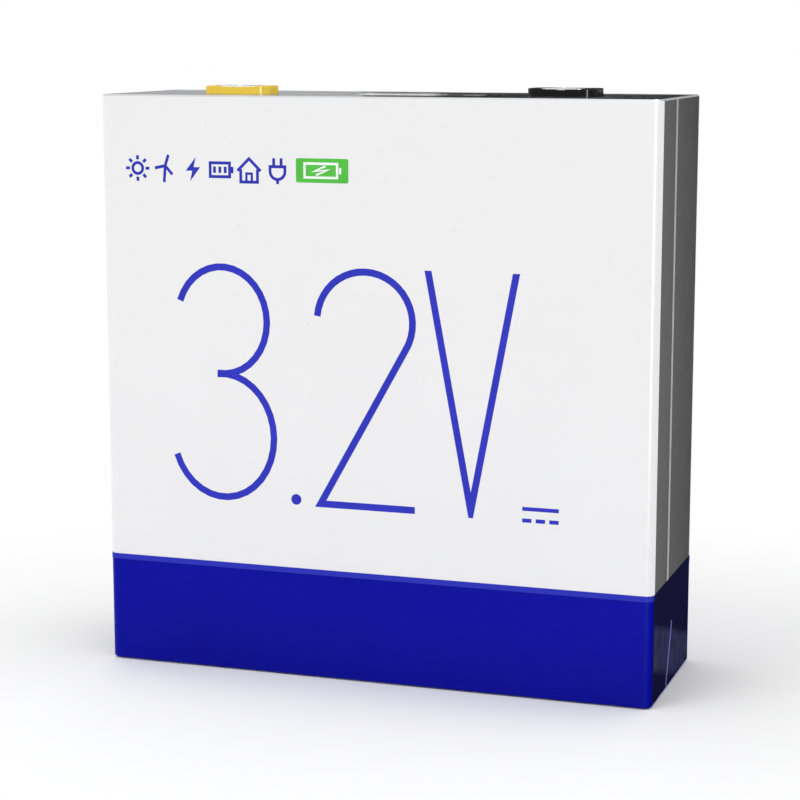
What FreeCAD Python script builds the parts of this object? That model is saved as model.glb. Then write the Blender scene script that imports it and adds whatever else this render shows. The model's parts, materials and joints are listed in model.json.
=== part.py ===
# Prismatic lithium iron phosphate storage cell, as an assembly of its separate pieces.
#
# Millimetres, +Z up. The origin is the middle of the underside, where the cell stands. X runs
# along the width, with the positive terminal at -X, and -Y is the front wide face.
# From the outside in: insulating film, aluminium can and welded lid with two sealed terminals,
# a burst vent and a filling port, and inside the can a bag with two wound rolls whose foil tabs
# rise to the connector plates under the lid.
import FreeCAD, Part
import math
import os
import Sketcher

# Driving dimensions: alias, millimetres, meaning. Everything else is worked out from these.
DIMENSIONS = [
    ("cell_width", 220.0, "over the hem of the lower film, along X"),
    ("cell_depth", 72.0, "over the hem of the lower film, along Y"),
    ("lid_top", 224.0, "height of the lid's top face"),
    ("band_height", 43.3, "height of the lower film's top edge"),
    ("film_thickness", 0.25, "insulating film with its adhesive"),
    ("film_overlap", 2.0, "how far the lower film laps over the upper one"),
    ("skived_thickness", 0.15, "upper film where it is thinned under the lap"),
    ("film_return", 0.35, "film past the end of each vertical corner's arc"),
    ("rim_exposed", 0.5, "bare can rim above the film"),
    ("flap_thickness", 0.14, "film flap on a narrow side"),
    ("seam_from_front", 27.0, "lap seam of a narrow side, from the front face"),
    ("seam_tape_width", 2.8, "tape over the lap seam"),
    ("tape_thickness", 0.1, "adhesive tape"),
    ("tuck_base", 18.0, "base of the triangular tuck at the foot of a narrow side"),
    ("tuck_height", 24.0, "height of that tuck"),
    ("can_radius", 3.0, "vertical outer corners of the can"),
    ("foot_radius", 0.75, "outer bottom edge of the can"),
    ("can_wall", 0.9, "side wall of the can"),
    ("can_floor", 1.5, "bottom of the can"),
    ("bottom_sheet_thickness", 0.4, "insulating sheet under the cell"),
    ("bottom_sheet_inset", 4.0, "from the can's outline to the sheet's edge"),
    ("lid_thickness", 3.0, "lid plate"),
    ("terminal_spacing", 131.0, "between the terminals' centres"),
    ("collar_width", 27.0, "terminal collar, along X"),
    ("collar_depth", 17.0, "terminal collar, along Y"),
    ("collar_radius", 5.0, "vertical corners of the collar"),
    ("collar_floor", 0.8, "collar under the terminal pad"),
    ("collar_rim", 2.7, "height of the collar's rim above the lid"),
    ("lug_width", 5.4, "raised lug at each end of the collar"),
    ("lug_height", 0.25, "lug above the rim"),
    ("notch_width", 3.6, "notch across the middle of the collar's rim"),
    ("notch_depth", 0.35, "depth of that notch below the rim"),
    ("collar_gap", 0.2, "collar's recess around the terminal pad"),
    ("moulding_radius", 0.35, "rounded edges of moulded and coined pieces"),
    ("pad_width", 17.0, "weldable face of a terminal, along X"),
    ("pad_depth", 12.6, "weldable face of a terminal, along Y"),
    ("pad_radius", 3.0, "vertical corners of the terminal pad"),
    ("terminal_height", 3.0, "terminal pad's top above the lid"),
    ("pad_recess_radius", 5.0, "round recess in the terminal pad"),
    ("pad_recess_depth", 0.5, "depth of that recess"),
    ("post_radius", 3.6, "post through the lid"),
    ("post_head_radius", 4.5, "spun head of the post"),
    ("post_head_height", 0.4, "height of that head"),
    ("post_flange_radius", 9.0, "flange of the post, inside the cell"),
    ("post_flange_thickness", 1.5, "thickness of that flange"),
    ("seal_radius", 5.2, "sleeve of the seal ring, and the lid's hole for it"),
    ("seal_flange_radius", 8.0, "flange of the seal ring under the lid"),
    ("insulator_width", 85.0, "insulating plate under the lid, along X"),
    ("insulator_depth", 64.0, "insulating plate under the lid, along Y"),
    ("insulator_thickness", 1.5, "insulating plate under the lid"),
    ("vent_recess_length", 40.0, "recess for the vent's cover film"),
    ("vent_recess_width", 20.0, "recess for the vent's cover film"),
    ("vent_recess_depth", 0.5, "recess for the vent's cover film"),
    ("vent_length", 36.0, "burst disc"),
    ("vent_width", 16.0, "burst disc"),
    ("vent_thickness", 0.5, "burst disc"),
    ("vent_ledge", 2.0, "lid left under the burst disc's edge"),
    ("vent_ledge_thickness", 1.0, "thickness of that ledge"),
    ("score_inset", 3.6, "score line from the burst disc's edge"),
    ("score_width", 0.7, "score line of the burst disc"),
    ("score_depth", 0.25, "score line of the burst disc"),
    ("cover_film_thickness", 0.15, "clear film over the vent"),
    ("cover_film_gap", 0.2, "cover film to the edge of its recess"),
    ("guard_width", 43.0, "grille under the vent, along X"),
    ("guard_depth", 26.0, "grille under the vent, along Y"),
    ("guard_thickness", 1.2, "grille under the vent"),
    ("guard_slot_length", 19.0, "slot of that grille"),
    ("guard_slot_width", 2.4, "slot of that grille"),
    ("guard_slot_pitch", 5.0, "slot of that grille"),
    ("guard_slot_count", 7, "slots of that grille"),
    ("fill_from_centre", 30.0, "filling port from the middle of the lid, along X"),
    ("fill_cap_radius", 4.0, "disc welded over the filling port"),
    ("fill_cap_thickness", 0.5, "disc welded over the filling port"),
    ("fill_head_radius", 2.6, "head of the filling port's plug"),
    ("fill_head_height", 0.5, "head of the filling port's plug"),
    ("fill_hole_radius", 1.6, "filling hole"),
    ("plate_width", 54.0, "connector plate, along X"),
    ("plate_depth", 40.0, "connector plate, along Y"),
    ("plate_thickness", 1.5, "connector plate"),
    ("plate_hole_radius", 2.5, "locating hole of the connector plate"),
    ("tab_width", 44.0, "foil tab stack, along X"),
    ("tab_thickness", 0.8, "foil tab stack"),
    ("tab_gap", 6.0, "between the front and rear tabs' ends"),
    ("tab_bend", 0.9, "inner radius of the tab's bend"),
    ("tray_thickness", 1.0, "support tray under the rolls"),
    ("tray_slot_length", 24.0, "slot of the support tray"),
    ("tray_slot_width", 6.0, "slot of the support tray"),
    ("tray_slot_pitch", 40.0, "slot of the support tray"),
    ("tray_slot_count", 5, "slots of the support tray"),
    ("bag_thickness", 0.2, "insulating bag around the rolls"),
    ("bag_top", 213.0, "height of the bag's open top"),
    ("inner_gap", 0.2, "bag and tray to the can's wall"),
    ("roll_width", 215.6, "wound roll, along X"),
    ("roll_thickness", 33.6, "wound roll, along Y"),
    ("roll_height", 202.0, "wound roll, along Z"),
    ("roll_gap", 0.7, "between the two rolls"),
    ("roll_slit", 0.6, "slit in the middle of the winding"),
    ("roll_tape_width", 150.0, "tape that ends the winding, along X"),
    ("roll_tape_height", 30.0, "tape that ends the winding, along Z"),
]

# Sizes and heights shared by several pieces.
SHEET_TOP = "Dims.bottom_sheet_thickness"
CAN_BOTTOM = "(Dims.bottom_sheet_thickness + Dims.film_thickness)"
CAN_HEIGHT = f"(Dims.lid_top - {CAN_BOTTOM})"
HEM_THICKNESS = "(Dims.film_thickness + Dims.skived_thickness)"
HEM_RADIUS = f"(Dims.can_radius + {HEM_THICKNESS})"
CAN_WIDTH = f"(Dims.cell_width - 2 * {HEM_THICKNESS})"
CAN_DEPTH = f"(Dims.cell_depth - 2 * {HEM_THICKNESS})"
FILM_WIDTH = "(Dims.cell_width - 2 * Dims.skived_thickness)"
FILM_DEPTH = "(Dims.cell_depth - 2 * Dims.skived_thickness)"
FILM_RADIUS = "(Dims.can_radius + Dims.film_thickness)"
SKIVED_SIZE = (
    "(Dims.cell_width - 2 * Dims.film_thickness)",
    "(Dims.cell_depth - 2 * Dims.film_thickness)",
    "(Dims.can_radius + Dims.skived_thickness)",
)
FILM_TOP = "(Dims.lid_top - Dims.rim_exposed)"
LAP_HEIGHT = "(Dims.band_height - Dims.film_overlap)"
BARE_SIDE = f"({CAN_DEPTH} - 2 * (Dims.can_radius + Dims.film_return))"
INNER_WIDTH = f"({CAN_WIDTH} - 2 * Dims.can_wall)"
INNER_DEPTH = f"({CAN_DEPTH} - 2 * Dims.can_wall)"
INNER_RADIUS = "(Dims.can_radius - Dims.can_wall)"
LID_BOTTOM = "(Dims.lid_top - Dims.lid_thickness)"
INSULATOR_BOTTOM = f"({LID_BOTTOM} - Dims.insulator_thickness)"
PLATE_TOP = f"({INSULATOR_BOTTOM} - Dims.post_flange_thickness)"
TAB_TOP = f"({PLATE_TOP} - Dims.plate_thickness)"
PAD_BOTTOM = "(Dims.lid_top + Dims.collar_floor)"
PAD_HEIGHT = "(Dims.terminal_height - Dims.collar_floor)"
VENT_STEP = "(Dims.vent_recess_depth + Dims.vent_ledge_thickness)"
TRAY_BOTTOM = f"({CAN_BOTTOM} + Dims.can_floor)"
BAG_BOTTOM = f"({TRAY_BOTTOM} + Dims.tray_thickness)"
BAG_WIDTH = f"({INNER_WIDTH} - 2 * Dims.inner_gap)"
BAG_DEPTH = f"({INNER_DEPTH} - 2 * Dims.inner_gap)"
ROLL_BOTTOM = f"({BAG_BOTTOM} + Dims.bag_thickness)"
ROLL_TOP = f"({ROLL_BOTTOM} + Dims.roll_height)"
ROLL_CENTRE = "((Dims.roll_thickness + Dims.roll_gap) / 2)"
SEAM_Y = "(Dims.seam_from_front - Dims.cell_depth / 2)"
POLARITIES = {"positive": -1, "negative": 1}
FACES = {"front": -1, "rear": 1}
SIDES = {"left": -1, "right": 1}

doc = FreeCAD.newDocument("prismatic_cell")
dims = doc.addObject("Spreadsheet::Sheet", "Dims")
for row, (alias, size, meaning) in enumerate(DIMENSIONS, start=1):
    dims.set(f"A{row}", meaning)
    dims.set(f"B{row}", str(size))
    dims.setAlias(f"B{row}", alias)
doc.recompute()
pieces = []


def value(expression):
    """What an expression over the sheet comes to."""
    return float(dims.evalExpression(expression))


def new_body(label, is_piece=True):
    body = doc.addObject("PartDesign::Body", label)
    body.Label = label
    if is_piece:
        pieces.append(body)
    return body


def place(piece, x="0", y="0", z="0"):
    """Bind a piece's position to the sheet."""
    for axis, expression in (("x", x), ("y", y), ("z", z)):
        piece.setExpression(f"Placement.Base.{axis}", expression)


def new_sketch(body, name, height="0", x="0", y="0", role="XY_Plane"):
    """A sketch on one of the body's own planes, moved along that plane's axes."""
    plane = next(f for f in body.Origin.OriginFeatures if f.Role == role)
    sketch = body.newObject("Sketcher::SketchObject", name)
    sketch.AttachmentSupport = [(plane, "")]
    sketch.MapMode = "FlatFace"
    for axis, expression in (("x", x), ("y", y), ("z", height)):
        sketch.setExpression(f"AttachmentOffset.Base.{axis}", expression)
    return sketch


def bind(sketch, name, expression, *constraint):
    """Add a dimension to a sketch and bind it to the spreadsheet."""
    index = sketch.addConstraint(Sketcher.Constraint(*constraint, value(expression)))
    sketch.renameConstraint(index, name)
    sketch.setExpression(f"Constraints.{name}", expression)


def draw_loop(sketch, edges):
    """Close lines and arcs into a loop that is tangent at every join."""
    sketch.addGeometry(edges, False)
    last = len(edges) - 1
    for index in range(len(edges)):
        following = 0 if index == last else index + 1
        sketch.addConstraint(Sketcher.Constraint("Tangent", index, 2, following, 1))


def line(x0, y0, x1, y1):
    return Part.LineSegment(FreeCAD.Vector(x0, y0, 0), FreeCAD.Vector(x1, y1, 0))


def arc(x, y, radius, start, end):
    circle = Part.Circle(FreeCAD.Vector(x, y, 0), FreeCAD.Vector(0, 0, 1), radius)
    return Part.ArcOfCircle(circle, math.radians(start), math.radians(end))


def rounded_rectangle(body, name, width, depth, radius, **where):
    """A rectangle with round corners, centred on the sketch's origin."""
    sketch = new_sketch(body, name, **where)
    r = value(radius)
    x, y = value(width) / 2, value(depth) / 2
    draw_loop(sketch, [
        line(r - x, -y, x - r, -y), arc(x - r, r - y, r, -90, 0),
        line(x, r - y, x, y - r), arc(x - r, y - r, r, 0, 90),
        line(x - r, y, r - x, y), arc(r - x, y - r, r, 90, 180),
        line(-x, y - r, -x, r - y), arc(r - x, r - y, r, 180, 270),
    ])
    for index, kind in ((0, "Horizontal"), (2, "Vertical"), (4, "Horizontal"), (6, "Vertical")):
        sketch.addConstraint(Sketcher.Constraint(kind, index))
    for index in (3, 5, 7):
        sketch.addConstraint(Sketcher.Constraint("Equal", 1, index))
    sketch.addConstraint(Sketcher.Constraint("Symmetric", 1, 3, 5, 3, -1, 1))
    bind(sketch, "corner", radius, "Radius", 1)
    bind(sketch, "width", width, "DistanceX", 6, 1, 2, 1)
    bind(sketch, "depth", depth, "DistanceY", 0, 1, 4, 1)
    return sketch


def racetrack(body, name, length, width, **where):
    """A straight slot with half-round ends along the sketch's first axis."""
    sketch = new_sketch(body, name, **where)
    r = value(width) / 2
    x = value(length) / 2 - r
    edges = [line(-x, -r, x, -r), arc(x, 0, r, -90, 90), line(x, r, -x, r), arc(-x, 0, r, 90, 270)]
    draw_loop(sketch, edges)
    sketch.addConstraint(Sketcher.Constraint("Horizontal", 0))
    sketch.addConstraint(Sketcher.Constraint("Equal", 1, 3))
    sketch.addConstraint(Sketcher.Constraint("Symmetric", 1, 3, 3, 3, -1, 1))
    bind(sketch, "end", f"{width} / 2", "Radius", 1)
    bind(sketch, "between", f"{length} - {width}", "DistanceX", 3, 3, 1, 3)
    return sketch


def circle(body, name, radius, **where):
    sketch = new_sketch(body, name, **where)
    sketch.addGeometry(Part.Circle(FreeCAD.Vector(), FreeCAD.Vector(0, 0, 1), value(radius)), False)
    sketch.addConstraint(Sketcher.Constraint("Coincident", 0, 3, -1, 1))
    bind(sketch, "radius", radius, "Radius", 0)
    return sketch


def polygon(body, name, corners, **where):
    """A closed outline of straight lines, each corner bound along both of the sketch's axes."""
    sketch = new_sketch(body, name, **where)
    points = [(value(x), value(y)) for x, y in corners]
    count = len(points)
    sketch.addGeometry([line(*points[i], *points[(i + 1) % count]) for i in range(count)], False)
    for i, (x, y) in enumerate(corners):
        sketch.addConstraint(Sketcher.Constraint("Coincident", i, 2, (i + 1) % count, 1))
        bind(sketch, f"across{i}", x, "DistanceX", -1, 1, i, 1)
        bind(sketch, f"up{i}", y, "DistanceY", -1, 1, i, 1)
    return sketch


def pad(body, sketch, length, midplane=False):
    feature = body.newObject("PartDesign::Pad", f"{sketch.Name}_pad")
    feature.Profile = sketch
    feature.SideType = "Symmetric" if midplane else "One side"
    feature.setExpression("Length", length)
    sketch.Visibility = False
    doc.recompute()
    return feature


def pocket(body, sketch, depth):
    """Cut down from the sketch, and make sure that something was cut."""
    before = body.Shape.Volume
    feature = body.newObject("PartDesign::Pocket", f"{sketch.Name}_pocket")
    feature.Profile = sketch
    feature.setExpression("Length", depth)
    sketch.Visibility = False
    doc.recompute()
    if not body.Shape.Volume < before:
        raise RuntimeError(f"{body.Label}: {feature.Name} cuts nothing")
    return feature


def row_of(body, feature, axis_sketch, pitch, count):
    """Repeat a cut along a sketch's first axis."""
    before = body.Shape.Volume
    pattern = body.newObject("PartDesign::LinearPattern", f"{feature.Name}_row")
    pattern.Originals = [feature]
    pattern.Direction = (axis_sketch, ["H_Axis"])
    pattern.Mode = "Extent"
    pattern.setExpression("Length", f"{pitch} * ({count} - 1)")
    pattern.setExpression("Occurrences", count)
    body.Tip = pattern
    doc.recompute()
    if not body.Shape.Volume < before:
        raise RuntimeError(f"{body.Label}: {pattern.Name} cuts nothing")


def round_edges(body, radius, chosen):
    """Round the edges of the body's last feature that the function chosen picks."""
    base = body.Tip
    names = [f"Edge{i}" for i, edge in enumerate(base.Shape.Edges, start=1) if chosen(edge)]
    feature = body.newObject("PartDesign::Fillet", f"{base.Name}_round")
    feature.Base = (base, names)
    feature.setExpression("Radius", radius)
    doc.recompute()


def at_height(expression):
    """Chooses the edges that lie level at one height."""
    height = value(expression)

    def chosen(edge):
        box = edge.BoundBox
        return abs(box.ZMin - height) < 1e-4 and abs(box.ZMax - height) < 1e-4

    return chosen


def plate(label, width, depth, radius, thickness, is_piece=True):
    """A flat plate with round corners, standing on its own origin."""
    body = new_body(label, is_piece)
    pad(body, rounded_rectangle(body, "outline", width, depth, radius), thickness)
    return body


def box(label, width, depth, height, x, y, z):
    """A plain rectangular strip, given by its sizes and its low corner."""
    strip = doc.addObject("Part::Box", label)
    strip.Label = label
    for side, expression in (("Length", width), ("Width", depth), ("Height", height)):
        strip.setExpression(side, expression)
    place(strip, x, y, z)
    pieces.append(strip)
    return strip


def turned(label, steps):
    """A round solid of stacked steps, each a radius and a height."""
    body = new_body(label)
    height = "0"
    for radius, rise in steps:
        pad(body, circle(body, "step", radius, height=height), rise)
        height = f"{height} + {rise}"
    return body


def terminal_x(side):
    return f"{side} * Dims.terminal_spacing / 2"


# The can and what covers it


def can_blank(label, is_piece):
    """The can's outer shape, solid."""
    body = plate(label, CAN_WIDTH, CAN_DEPTH, "Dims.can_radius", CAN_HEIGHT, is_piece)
    round_edges(body, "Dims.foot_radius", at_height("0"))
    place(body, z=CAN_BOTTOM)
    return body


def make_can():
    body = can_blank("can", True)
    inside = rounded_rectangle(body, "inside", INNER_WIDTH, INNER_DEPTH, INNER_RADIUS, height=CAN_HEIGHT)
    pocket(body, inside, f"{CAN_HEIGHT} - Dims.can_floor")


def make_bottom_sheet():
    inset = "2 * Dims.bottom_sheet_inset"
    size = (f"{CAN_WIDTH} - {inset}", f"{CAN_DEPTH} - {inset}")
    plate("bottom_sheet", *size, "Dims.can_radius", "Dims.bottom_sheet_thickness")


def make_upper_film(name, face):
    """White film on a wide face, folded round that face's two corners and thinned under the lap."""
    height = f"({FILM_TOP} - {LAP_HEIGHT})"
    body = plate(f"{name}_upper_film", *SKIVED_SIZE, "Dims.film_overlap")
    outline = (FILM_WIDTH, FILM_DEPTH, FILM_RADIUS)
    above_lap = rounded_rectangle(body, "above_lap", *outline, height="Dims.film_overlap")
    pad(body, above_lap, f"{height} - Dims.film_overlap")
    can = rounded_rectangle(body, "can_outline", CAN_WIDTH, CAN_DEPTH, "Dims.can_radius", height=height)
    pocket(body, can, height)
    edge = f"{face} * ({BARE_SIDE} / 2 - {CAN_DEPTH} / 2)"
    rest = ("2 * Dims.cell_width", CAN_DEPTH, "Dims.can_radius")
    pocket(body, rounded_rectangle(body, "other_faces", *rest, y=edge, height=height), height)
    place(body, z=LAP_HEIGHT)


def make_lower_film():
    """Blue film under the can and up its wide faces, lapped over the upper film at its hem."""
    top = f"(Dims.band_height - {SHEET_TOP})"
    lap = f"({LAP_HEIGHT} - {SHEET_TOP})"
    body = plate("lower_film_outside", FILM_WIDTH, FILM_DEPTH, FILM_RADIUS, lap, is_piece=False)
    round_edges(body, "Dims.foot_radius + Dims.film_thickness", at_height("0"))
    hem_bottom = f"{lap} - Dims.film_thickness"
    hem = rounded_rectangle(body, "hem", "Dims.cell_width", "Dims.cell_depth", HEM_RADIUS, height=hem_bottom)
    pad(body, hem, "Dims.film_overlap + Dims.film_thickness")
    pocket(body, rounded_rectangle(body, "upper_film", *SKIVED_SIZE, height=top), "Dims.film_overlap")
    size = ("2 * Dims.cell_width", BARE_SIDE, "Dims.can_radius")
    side = rounded_rectangle(body, "bare_sides", *size, height=top)
    pocket(body, side, f"{top} - Dims.film_thickness - Dims.foot_radius")
    place(body, z=SHEET_TOP)
    film = doc.addObject("Part::Cut", "lower_film")
    film.Base = body
    film.Tool = can_blank("lower_film_inside", False)
    pieces.append(film)


def make_side_flaps(name, side):
    """The flaps that close the film over a narrow side, their seam tape and the tuck at the foot."""
    foot = f"({CAN_BOTTOM} + Dims.foot_radius)"
    front, rear = f"(-{BARE_SIDE} / 2)", f"({BARE_SIDE} / 2)"
    on_can = outward(side, f"{CAN_WIDTH} / 2", "Dims.flap_thickness")
    on_flap = outward(side, f"{CAN_WIDTH} / 2 + Dims.flap_thickness", "Dims.tape_thickness")
    tall = f"{FILM_TOP} - Dims.band_height"
    thin = "Dims.flap_thickness"
    box(f"{name}_front_flap", thin, f"{SEAM_Y} - {front}", tall, on_can, front, "Dims.band_height")
    box(f"{name}_rear_flap", thin, f"{rear} - {SEAM_Y}", tall, on_can, SEAM_Y, "Dims.band_height")
    box(f"{name}_lower_flap", thin, BARE_SIDE, f"Dims.band_height - {foot}", on_can, front, foot)
    tape_y = f"{SEAM_Y} - Dims.seam_tape_width / 2"
    tape = ("Dims.tape_thickness", "Dims.seam_tape_width", tall)
    box(f"{name}_seam_tape", *tape, on_flap, tape_y, "Dims.band_height")
    tuck = new_body(f"{name}_foot_tuck")
    corners = [
        (SEAM_Y, foot),
        (f"{SEAM_Y} + Dims.tuck_base", foot),
        (f"{SEAM_Y} + Dims.tuck_base / 2", f"{foot} + Dims.tuck_height"),
    ]
    pad(tuck, polygon(tuck, "fold", corners, role="YZ_Plane"), "Dims.tape_thickness")
    place(tuck, x=on_flap)


def outward(side, start, thickness):
    """The low X of a layer on the left or right narrow side that starts at a distance from the middle."""
    return start if side > 0 else f"-({start} + {thickness})"


# The lid and what it carries


def make_lid():
    body = plate("lid_plate", INNER_WIDTH, INNER_DEPTH, INNER_RADIUS, "Dims.lid_thickness")
    top = "Dims.lid_thickness"
    for side in POLARITIES.values():
        hole = circle(body, "terminal_hole", "Dims.seal_radius", x=terminal_x(side), height=top)
        pocket(body, hole, top)
    vent_opening = "2 * Dims.vent_ledge"
    vent_steps = [
        ("cover", "Dims.vent_recess_length", "Dims.vent_recess_width", "Dims.vent_recess_depth"),
        ("disc", "Dims.vent_length", "Dims.vent_width", f"{top} - Dims.vent_ledge_thickness"),
        ("opening", f"(Dims.vent_length - {vent_opening})", f"(Dims.vent_width - {vent_opening})", top),
    ]
    for name, length, width, depth in vent_steps:
        pocket(body, racetrack(body, f"{name}_step", length, width, height=top), depth)
    cap_floor = "Dims.fill_cap_thickness"
    fill_steps = [
        ("Dims.fill_cap_radius", cap_floor),
        ("Dims.fill_head_radius", f"{cap_floor} + Dims.fill_head_height"),
        ("Dims.fill_hole_radius", top),
    ]
    for radius, depth in fill_steps:
        pocket(body, circle(body, "fill_port", radius, x="Dims.fill_from_centre", height=top), depth)
    place(body, z=LID_BOTTOM)


def make_vent():
    disc = new_body("vent_disc")
    pad(disc, racetrack(disc, "rim", "Dims.vent_length", "Dims.vent_width"), "Dims.vent_thickness")
    score_length = "(Dims.vent_length - 2 * Dims.score_inset)"
    score_width = "(Dims.vent_width - 2 * Dims.score_inset)"
    score = racetrack(disc, "score", score_length, score_width, height="Dims.vent_thickness")
    pocket(disc, score, "Dims.score_depth")
    inner = (f"({score_length} - 2 * Dims.score_width)", f"({score_width} - 2 * Dims.score_width)")
    middle_height = "Dims.vent_thickness - Dims.score_depth"
    pad(disc, racetrack(disc, "petal", *inner, height=middle_height), "Dims.score_depth")
    place(disc, z=f"{LID_BOTTOM} + Dims.vent_ledge_thickness")

    film = new_body("vent_cover_film")
    gap = "2 * Dims.cover_film_gap"
    size = (f"(Dims.vent_recess_length - {gap})", f"(Dims.vent_recess_width - {gap})")
    pad(film, racetrack(film, "outline", *size), "Dims.cover_film_thickness")
    place(film, z="Dims.lid_top - Dims.vent_recess_depth")

    guard = plate("vent_guard", "Dims.guard_width", "Dims.guard_depth", "2", "Dims.guard_thickness")
    first_x = "Dims.guard_slot_pitch * (1 - Dims.guard_slot_count) / 2"
    slot = rounded_rectangle(
        guard, "slot", "Dims.guard_slot_width", "Dims.guard_slot_length", "Dims.guard_slot_width * 0.45",
        x=first_x, height="Dims.guard_thickness",
    )
    cut = pocket(guard, slot, "Dims.guard_thickness")
    row_of(guard, cut, slot, "Dims.guard_slot_pitch", "Dims.guard_slot_count")
    place(guard, z=f"{LID_BOTTOM} - Dims.guard_thickness")


def make_fill_port():
    head = ("Dims.fill_head_radius", "Dims.fill_head_height")
    shank_length = "(Dims.lid_thickness - Dims.fill_cap_thickness - Dims.fill_head_height)"
    plug = turned("fill_port_plug", [("Dims.fill_hole_radius", shank_length), head])
    place(plug, x="Dims.fill_from_centre", z=LID_BOTTOM)
    cap = turned("fill_port_cap", [("Dims.fill_cap_radius", "Dims.fill_cap_thickness")])
    place(cap, x="Dims.fill_from_centre", z="Dims.lid_top - Dims.fill_cap_thickness")


def make_collar(polarity, side):
    """Moulded plastic frame that insulates and keys a terminal pad."""
    lug_top = "(Dims.collar_rim + Dims.lug_height)"
    size = ("Dims.collar_width", "Dims.collar_depth", "Dims.collar_radius")
    body = plate(f"{polarity}_collar", *size, lug_top)
    round_edges(body, "Dims.moulding_radius", at_height(lug_top))
    gap = "2 * Dims.collar_gap"
    size = (f"(Dims.pad_width + {gap})", f"(Dims.pad_depth + {gap})", "Dims.pad_radius")
    pocket(body, rounded_rectangle(body, "recess", *size, height=lug_top), f"{lug_top} - Dims.collar_floor")
    across = "2 * Dims.collar_depth"
    cuts = [
        ("between_lugs", "(Dims.collar_width - 2 * Dims.lug_width)", "Dims.lug_height"),
        ("notch", "Dims.notch_width", "Dims.lug_height + Dims.notch_depth"),
    ]
    for name, width, depth in cuts:
        corner = "Dims.notch_width * 0.2"
        pocket(body, rounded_rectangle(body, name, width, across, corner, height=lug_top), depth)
    post_hole = circle(body, "post_hole", "Dims.seal_radius", height="Dims.collar_floor")
    pocket(body, post_hole, "Dims.collar_floor")
    place(body, x=terminal_x(side), z="Dims.lid_top")


def make_terminal(polarity, side):
    """Terminal pad, its post through the lid, the seal ring and the plate under the lid."""
    x = terminal_x(side)
    size = ("Dims.pad_width", "Dims.pad_depth", "Dims.pad_radius", PAD_HEIGHT)
    terminal = plate(f"{polarity}_terminal_pad", *size)
    round_edges(terminal, "Dims.moulding_radius", at_height(PAD_HEIGHT))
    steps = [("Dims.pad_recess_radius", "Dims.pad_recess_depth"), ("Dims.post_radius", PAD_HEIGHT)]
    for radius, depth in steps:
        pocket(terminal, circle(terminal, "post_step", radius, height=PAD_HEIGHT), depth)
    place(terminal, x=x, z=PAD_BOTTOM)

    head_bottom = "(Dims.lid_top + Dims.terminal_height - Dims.pad_recess_depth)"
    post = turned(f"{polarity}_post", [
        ("Dims.post_flange_radius", "Dims.post_flange_thickness"),
        ("Dims.post_radius", f"({head_bottom} - {INSULATOR_BOTTOM})"),
        ("Dims.post_head_radius", "Dims.post_head_height"),
    ])
    place(post, x=x, z=PLATE_TOP)

    sleeve_height = f"({PAD_BOTTOM} - {LID_BOTTOM})"
    ring = turned(f"{polarity}_seal_ring", [
        ("Dims.seal_flange_radius", "Dims.insulator_thickness"),
        ("Dims.seal_radius", sleeve_height),
    ])
    ring_height = f"Dims.insulator_thickness + {sleeve_height}"
    pocket(ring, circle(ring, "bore", "Dims.post_radius", height=ring_height), ring_height)
    place(ring, x=x, z=INSULATOR_BOTTOM)

    size = ("Dims.insulator_width", "Dims.insulator_depth", "2", "Dims.insulator_thickness")
    insulator = plate(f"{polarity}_lower_insulator", *size)
    seal_hole = circle(insulator, "seal_hole", "Dims.seal_flange_radius", height="Dims.insulator_thickness")
    pocket(insulator, seal_hole, "Dims.insulator_thickness")
    if polarity == "negative":
        fill_x = "Dims.fill_from_centre - Dims.terminal_spacing / 2"
        fill_hole = circle(
            insulator, "fill_hole", "Dims.fill_head_radius", x=fill_x, height="Dims.insulator_thickness"
        )
        pocket(insulator, fill_hole, "Dims.insulator_thickness")
    place(insulator, x=x, z=INSULATOR_BOTTOM)


# Inside the can


def make_connector(polarity, side):
    """Plate that joins the foil tabs of both rolls to the post."""
    body = plate(f"{polarity}_connector", "Dims.plate_width", "Dims.plate_depth", "3", "Dims.plate_thickness")
    hole = circle(body, "locating_hole", "Dims.plate_hole_radius", height="Dims.plate_thickness")
    pocket(body, hole, "Dims.plate_thickness")
    place(body, x=terminal_x(side), z=TAB_TOP)


def make_tab(polarity, side, name, face):
    """Stack of foil tabs that rises from a roll and bends flat under the connector plate."""
    body = new_body(f"{polarity}_{name}_tab")
    outer = f"(({ROLL_CENTRE} + Dims.tab_thickness / 2) * {face})"
    inner = f"(({ROLL_CENTRE} - Dims.tab_thickness / 2) * {face})"
    end = f"(Dims.tab_gap / 2 * {face})"
    under = f"({TAB_TOP} - Dims.tab_thickness)"
    corners = [
        (outer, ROLL_TOP), (outer, TAB_TOP), (end, TAB_TOP),
        (end, under), (inner, under), (inner, ROLL_TOP),
    ]
    profile = polygon(body, "profile", corners, role="YZ_Plane")
    pad(body, profile, "Dims.tab_width", midplane=True)
    round_edges(body, "Dims.tab_bend", along_x_at(inner, under))
    round_edges(body, "Dims.tab_bend + Dims.tab_thickness", along_x_at(outer, TAB_TOP))
    place(body, x=terminal_x(side))


def along_x_at(y, z):
    """Chooses the edge that runs along X through a given Y and Z."""
    def chosen(edge):
        middle = edge.CenterOfMass
        level = abs(edge.BoundBox.YLength) + abs(edge.BoundBox.ZLength) < 1e-4
        return level and abs(middle.y - value(y)) < 1e-4 and abs(middle.z - value(z)) < 1e-4

    return chosen


def make_tab_tape(polarity, side):
    """Tape over the welds between the tabs and the connector plate."""
    depth = f"(2 * {ROLL_CENTRE} - Dims.tab_thickness - 2 * Dims.tab_bend)"
    x = f"{terminal_x(side)} - Dims.tab_width / 2"
    z = f"{TAB_TOP} - Dims.tab_thickness - Dims.tape_thickness"
    box(f"{polarity}_tab_tape", "Dims.tab_width", depth, "Dims.tape_thickness", x, f"-{depth} / 2", z)


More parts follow.
